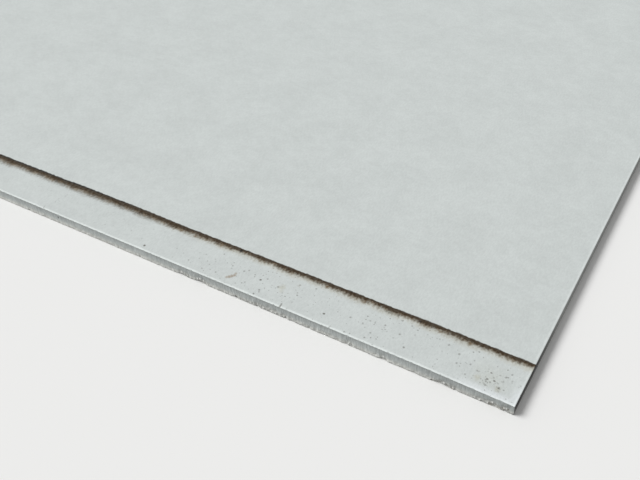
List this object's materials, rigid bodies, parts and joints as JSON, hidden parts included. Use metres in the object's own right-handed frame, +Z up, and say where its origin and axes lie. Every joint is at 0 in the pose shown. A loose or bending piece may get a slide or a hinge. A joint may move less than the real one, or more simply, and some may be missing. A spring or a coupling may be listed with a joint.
{
  "type": "drywall sheet",
  "caption": "Flat drywall sheet with smooth tapered long edges and ragged cut ends, fixed face out over framing.",
  "frame": {"origin": "middle of the sheet's back face, which lies on the floor", "axes": "+X across the sheet's width, +Y along its length, +Z up out of its face"},
  "size_m": [1.2, 2.4, 0.0125],
  "materials": {
    "board": "matte"
  },
  "bodies": {
    "root": {"drywall_sheet": "board"}
  },
  "joints": []
}
